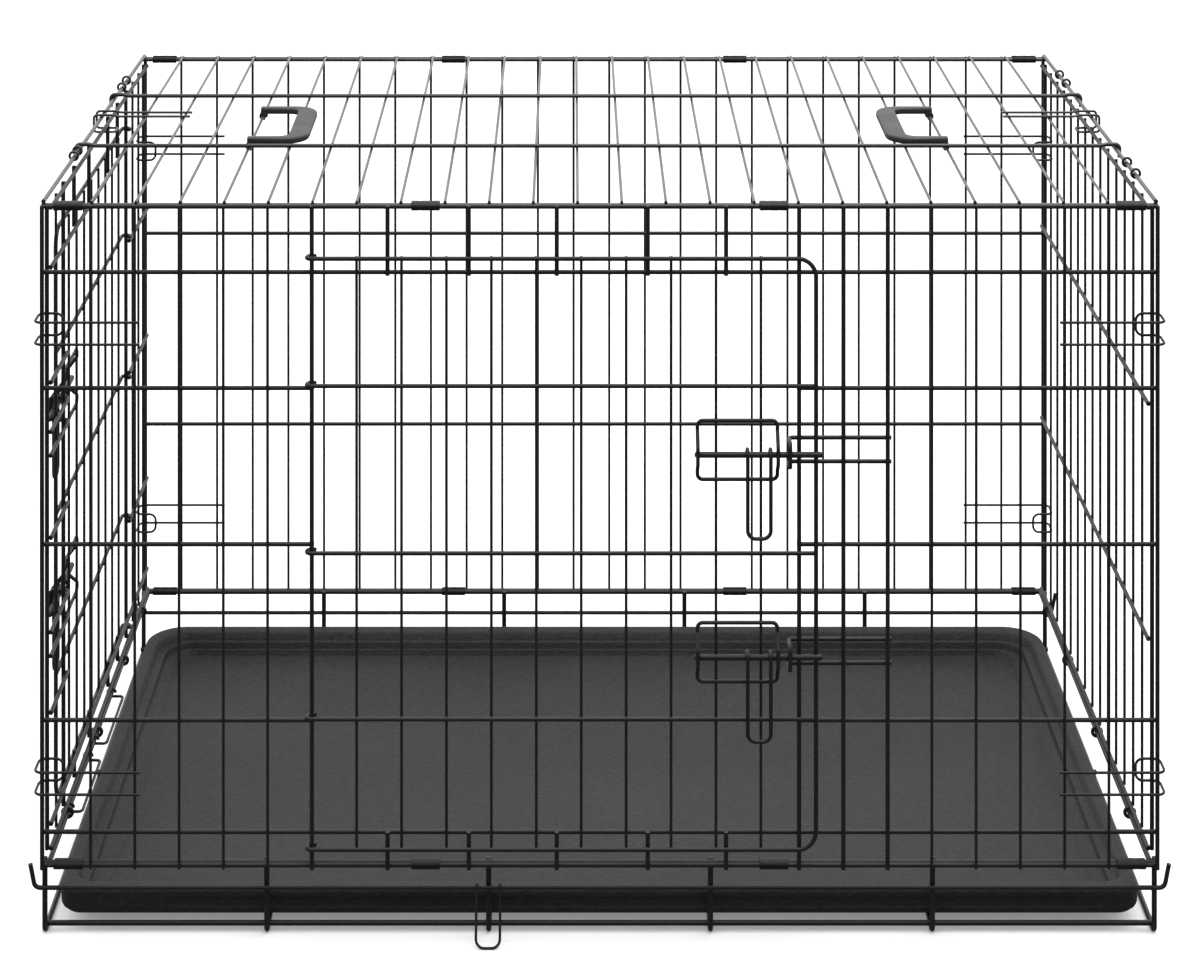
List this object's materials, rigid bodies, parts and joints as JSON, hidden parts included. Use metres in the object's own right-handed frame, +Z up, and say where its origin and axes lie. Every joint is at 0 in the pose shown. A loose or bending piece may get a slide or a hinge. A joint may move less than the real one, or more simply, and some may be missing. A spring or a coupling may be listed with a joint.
{
  "type": "wire dog crate",
  "caption": "Folding welded-wire dog crate with front and end doors, slide-bolt latches, carrying handles and a slide-out plastic tray.",
  "frame": {"origin": "on the ground under the middle of the base, midway between the corner wires and between the front and back wire planes", "axes": "+X to the crate's right seen from the front door, +Y to its back, +Z up"},
  "size_m": [1.2509, 0.7412, 0.8136],
  "materials": {
    "wire_coat": "black electro-coat, satin",
    "top_wire_coat": "black electro-coat, satin, catching the light",
    "clip_coat": "black coated sheet steel, satin",
    "tray_plastic": "fine pebble grain",
    "handle_plastic": "smooth moulded"
  },
  "bodies": {
    "crate": {"back_corner_catches": "wire_coat", "back_crossbars": "wire_coat", "back_uprights": "wire_coat", "base_back_clips": "clip_coat", "base_back_mid_rail": "wire_coat", "base_back_rail": "wire_coat", "base_cross_wires": "wire_coat", "base_floor_rails": "wire_coat", "base_front_clips": "clip_coat", "base_front_mid_rail": "wire_coat", "base_front_rail": "wire_coat", "base_side_rails": "wire_coat", "front_corner_catches": "wire_coat", "front_crossbars": "wire_coat", "front_door_surround": "wire_coat", "front_keepers": "wire_coat", "front_uprights": "wire_coat", "top_back_clips": "clip_coat", "top_catches": "top_wire_coat", "top_crossbars": "top_wire_coat", "top_edge_eyes": "top_wire_coat", "top_front_clips": "clip_coat", "top_rails": "top_wire_coat", "top_wires": "top_wire_coat"},
    "front_door": {"front_door_bracket_lower": "wire_coat", "front_door_bracket_upper": "wire_coat", "front_door_frame": "wire_coat", "front_door_hinge_hooks": "wire_coat", "front_door_wires": "wire_coat"},
    "left_end": {"left_end_crossbars": "wire_coat", "left_end_door_surround": "wire_coat", "left_end_hinge_curls": "wire_coat", "left_end_keepers": "wire_coat", "left_end_uprights": "wire_coat"},
    "end_door": {"end_door_bracket_lower": "wire_coat", "end_door_bracket_upper": "wire_coat", "end_door_frame": "wire_coat", "end_door_hinge_hooks": "wire_coat", "end_door_wires": "wire_coat"},
    "right_end": {"right_end_crossbars": "wire_coat", "right_end_hinge_curls": "wire_coat", "right_end_uprights": "wire_coat"},
    "tray": {"tray": "tray_plastic"},
    "stow_loop": {"stow_loop": "wire_coat"},
    "tray_loop_front": {"tray_loop_front": "wire_coat"},
    "tray_loop_back": {"tray_loop_back": "wire_coat"},
    "handle_left": {"handle_left": "handle_plastic"},
    "handle_right": {"handle_right": "handle_plastic"},
    "end_door_bolt_lower": {"end_door_bolt_lower": "wire_coat"},
    "end_door_bolt_upper": {"end_door_bolt_upper": "wire_coat"},
    "end_door_drop_loop_lower": {"end_door_drop_loop_lower": "wire_coat"},
    "end_door_drop_loop_upper": {"end_door_drop_loop_upper": "wire_coat"},
    "front_door_bolt_lower": {"front_door_bolt_lower": "wire_coat"},
    "front_door_bolt_upper": {"front_door_bolt_upper": "wire_coat"},
    "front_door_drop_loop_lower": {"front_door_drop_loop_lower": "wire_coat"},
    "front_door_drop_loop_upper": {"front_door_drop_loop_upper": "wire_coat"}
  },
  "joints": [
    {"name": "front_door_swing", "type": "hinge", "parent": "crate", "child": "front_door", "pos_m": [-0.31362, -0.3583, 0.4258], "axis": [0, 0, 1], "range_deg": [-165, 0]},
    {"name": "left_end_fold", "type": "hinge", "parent": "crate", "child": "left_end", "pos_m": [-0.6019, 0, 0.0808], "axis": [0, 1, 0], "range_deg": [0, 90]},
    {"name": "right_end_fold", "type": "hinge", "parent": "crate", "child": "right_end", "pos_m": [0.6019, 0, 0.0808], "axis": [0, 1, 0], "range_deg": [-86.5, 0]},
    {"name": "end_door_swing", "type": "hinge", "parent": "left_end", "child": "end_door", "pos_m": [-0.6065, 0.1916, 0.4258], "axis": [0, 0, 1], "range_deg": [-165, 0]},
    {"name": "front_bolt_lower_slide", "type": "slide", "parent": "front_door", "child": "front_door_bolt_lower", "axis": [1, 0, 0], "range_m": [-0.043, 0]},
    {"name": "front_drop_loop_lower_swing", "type": "hinge", "parent": "front_door_bolt_lower", "child": "front_door_drop_loop_lower", "pos_m": [0.17263, -0.36955, 0.3148], "axis": [1, 0, 0], "range_deg": [-170, 0]},
    {"name": "end_bolt_lower_slide", "type": "slide", "parent": "end_door", "child": "end_door_bolt_lower", "axis": [0, -1, 0], "range_m": [-0.043, 0]},
    {"name": "end_drop_loop_lower_swing", "type": "hinge", "parent": "end_door_bolt_lower", "child": "end_door_drop_loop_lower", "pos_m": [-0.61775, -0.195, 0.3148], "axis": [0, -1, 0], "range_deg": [-170, 0]},
    {"name": "front_bolt_upper_slide", "type": "slide", "parent": "front_door", "child": "front_door_bolt_upper", "axis": [1, 0, 0], "range_m": [-0.043, 0]},
    {"name": "front_drop_loop_upper_swing", "type": "hinge", "parent": "front_door_bolt_upper", "child": "front_door_drop_loop_upper", "pos_m": [0.17263, -0.36955, 0.5348], "axis": [1, 0, 0], "range_deg": [-170, 0]},
    {"name": "end_bolt_upper_slide", "type": "slide", "parent": "end_door", "child": "end_door_bolt_upper", "axis": [0, -1, 0], "range_m": [-0.043, 0]},
    {"name": "end_drop_loop_upper_swing", "type": "hinge", "parent": "end_door_bolt_upper", "child": "end_door_drop_loop_upper", "pos_m": [-0.61775, -0.195, 0.5348], "axis": [0, -1, 0], "range_deg": [-170, 0]},
    {"name": "handle_left_lift", "type": "hinge", "parent": "crate", "child": "handle_left", "pos_m": [-0.41013, -0.039, 0.8036], "axis": [0, 1, 0], "range_deg": [-95, 0]},
    {"name": "handle_right_lift", "type": "hinge", "parent": "crate", "child": "handle_right", "pos_m": [0.41013, -0.039, 0.8036], "axis": [0, 1, 0], "range_deg": [0, 95]},
    {"name": "tray_slide", "type": "slide", "parent": "crate", "child": "tray", "axis": [1, 0, 0], "range_m": [-0.85, 0]},
    {"name": "stow_loop_swing", "type": "hinge", "parent": "crate", "child": "stow_loop", "pos_m": [-0.1215, -0.3477, 0.053], "axis": [1, 0, 0], "range_deg": [-115, 0]},
    {"name": "tray_loop_front_swing", "type": "hinge", "parent": "crate", "child": "tray_loop_front", "pos_m": [-0.6019, -0.1685, 0.0808], "axis": [0, 1, 0], "range_deg": [-70, 0]},
    {"name": "tray_loop_back_swing", "type": "hinge", "parent": "crate", "child": "tray_loop_back", "pos_m": [-0.6019, -0.0065, 0.0808], "axis": [0, 1, 0], "range_deg": [-70, 0]}
  ]
}
